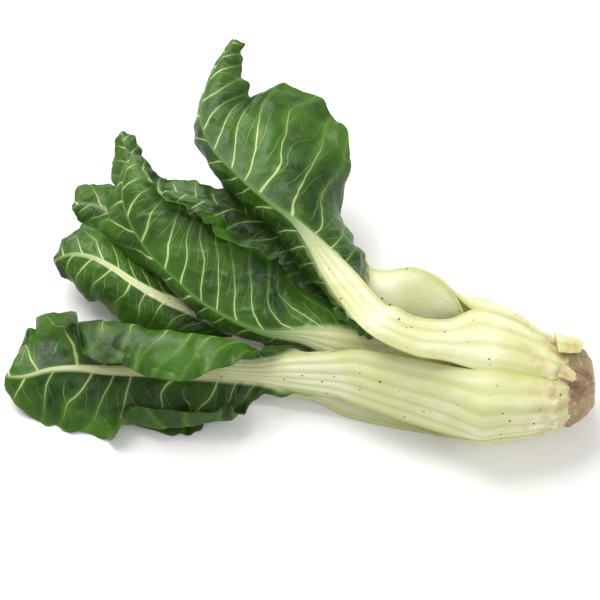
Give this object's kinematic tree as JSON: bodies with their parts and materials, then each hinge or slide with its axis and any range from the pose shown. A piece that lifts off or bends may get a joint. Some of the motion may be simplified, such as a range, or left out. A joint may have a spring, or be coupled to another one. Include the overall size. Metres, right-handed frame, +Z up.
{
  "type": "head of swiss chard",
  "caption": "Head of white-stalked chard lying on its side: a trimmed crown, broad ribbed pale stalks and crinkled dark green leaf blades that fan out and fold over each other.",
  "frame": {"origin": "centre of the bottom of the bounding box, on the plane that the head lies on", "axes": "+X towards the cut crown, -X towards the leaf tips, +Y to the side that the leaves fan out to, +Z up"},
  "size_m": [0.4965, 0.3523, 0.1249],
  "materials": {
    "stalk": "moist, faintly waxy plant flesh, cream with yellow-green grooves",
    "blade": "glossy crinkled leaf, dark green with pale green veins",
    "crown": "dull, scarred, dry cut root crown, tan to brown"
  },
  "bodies": {
    "root": {"crest_stalk": "stalk", "crest_blade": "blade", "front_stalk": "stalk", "front_blade": "blade", "middle_stalk": "stalk", "middle_blade": "blade", "side_stalk": "stalk", "side_blade": "blade", "back_stalk": "stalk", "back_blade": "blade", "far_stalk": "stalk", "far_blade": "blade", "small_stalk": "stalk", "small_blade": "blade", "heart_stalk": "stalk", "heart_blade": "blade", "under_stalk": "stalk", "under_blade": "blade", "rear_stalk": "stalk", "rear_blade": "blade", "crown": "crown", "stub_top": "stalk", "stub_side": "stalk"}
  },
  "joints": []
}
